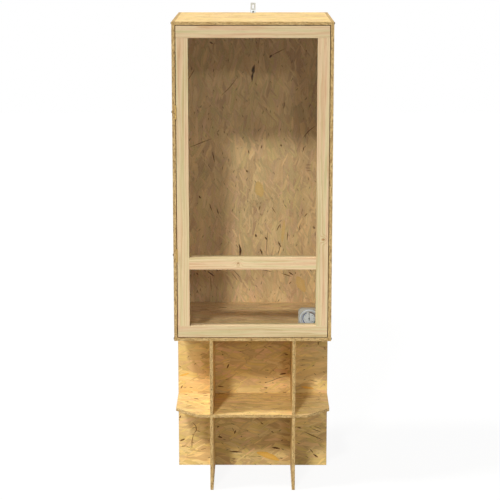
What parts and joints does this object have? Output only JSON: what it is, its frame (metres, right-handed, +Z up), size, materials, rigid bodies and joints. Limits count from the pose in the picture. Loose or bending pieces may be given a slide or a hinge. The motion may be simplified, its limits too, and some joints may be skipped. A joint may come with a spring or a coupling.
{
  "type": "terrarium cabinet",
  "caption": "Upright board terrarium cabinet with a hinged glazed pine door, side vents and an inside thermometer, on a slot-together board stand with a shelf.",
  "frame": {"origin": "on the floor, under the middle of the stand's cross panel, in the middle of the cabinet's width and depth", "axes": "+Z up, +X to the right seen from the front, +Y towards the wall behind the cabinet"},
  "size_m": [0.606, 0.6053, 1.85],
  "materials": {
    "strand_board": "raw oriented strand board, lightly sanded",
    "planed_pine": "planed, unvarnished",
    "clear_glass": "clear float glass",
    "brass_plate": "brass-plated steel",
    "black_steel": "black phosphated steel",
    "zinc_plate": "bright zinc-plated steel",
    "satin_aluminium": "satin anodised",
    "grey_plastic": "moulded, fine satin",
    "dark_plastic": "moulded, matt",
    "dial_card": "printed dial card"
  },
  "bodies": {
    "root": {"cross_panel": "strand_board", "fin_left": "strand_board", "fin_right": "strand_board", "front_shelf": "strand_board", "bottom_panel": "strand_board", "top_panel": "strand_board", "back_panel": "strand_board", "side_panel_left": "strand_board", "side_panel_right": "strand_board", "screw_left_bottom_front": "black_steel", "screw_left_bottom_middle": "black_steel", "screw_left_bottom_back": "black_steel", "screw_left_top_front": "black_steel", "screw_left_top_middle": "black_steel", "screw_left_top_back": "black_steel", "screw_left_back_1": "black_steel", "screw_left_back_2": "black_steel", "screw_left_back_3": "black_steel", "screw_right_bottom_front": "black_steel", "screw_right_bottom_middle": "black_steel", "screw_right_bottom_back": "black_steel", "screw_right_top_front": "black_steel", "screw_right_top_middle": "black_steel", "screw_right_top_back": "black_steel", "screw_right_back_1": "black_steel", "screw_right_back_2": "black_steel", "screw_right_back_3": "black_steel", "vent_low": "satin_aluminium", "vent_high": "satin_aluminium", "wall_bracket": "zinc_plate", "bracket_screw": "black_steel", "hinge_lower_frame_leaf": "brass_plate", "hinge_lower_pin": "brass_plate", "hinge_lower_bolt": "black_steel", "hinge_upper_frame_leaf": "brass_plate", "hinge_upper_pin": "brass_plate", "hinge_upper_bolt": "black_steel", "catch_body": "dark_plastic", "thermometer_housing": "grey_plastic", "thermometer_bezel": "grey_plastic", "thermometer_dial": "dial_card", "thermometer_lens": "clear_glass"},
    "door": {"door_stile_left": "planed_pine", "door_stile_right": "planed_pine", "door_rail_bottom": "planed_pine", "door_rail_top": "planed_pine", "door_rail_middle": "planed_pine", "glass_lower": "clear_glass", "glass_upper": "clear_glass", "catch_strike": "zinc_plate", "hinge_lower_screw_low": "brass_plate", "hinge_lower_screw_high": "brass_plate", "hinge_upper_screw_low": "brass_plate", "hinge_upper_screw_high": "brass_plate", "hinge_lower_door_leaf": "brass_plate", "hinge_upper_door_leaf": "brass_plate"},
    "needle": {"thermometer_needle": "dark_plastic"}
  },
  "joints": [
    {"name": "door_hinge", "type": "hinge", "parent": "root", "child": "door", "pos_m": [-0.2865, -0.3028, 1.206], "axis": [0, 0, -1], "range_deg": [0, 170]},
    {"name": "needle_pivot", "type": "hinge", "parent": "root", "child": "needle", "pos_m": [0.2175, -0.247, 0.674], "axis": [0, 1, 0], "range_deg": [-130, 130], "stiffness_Nm_per_rad": 0.001}
  ]
}
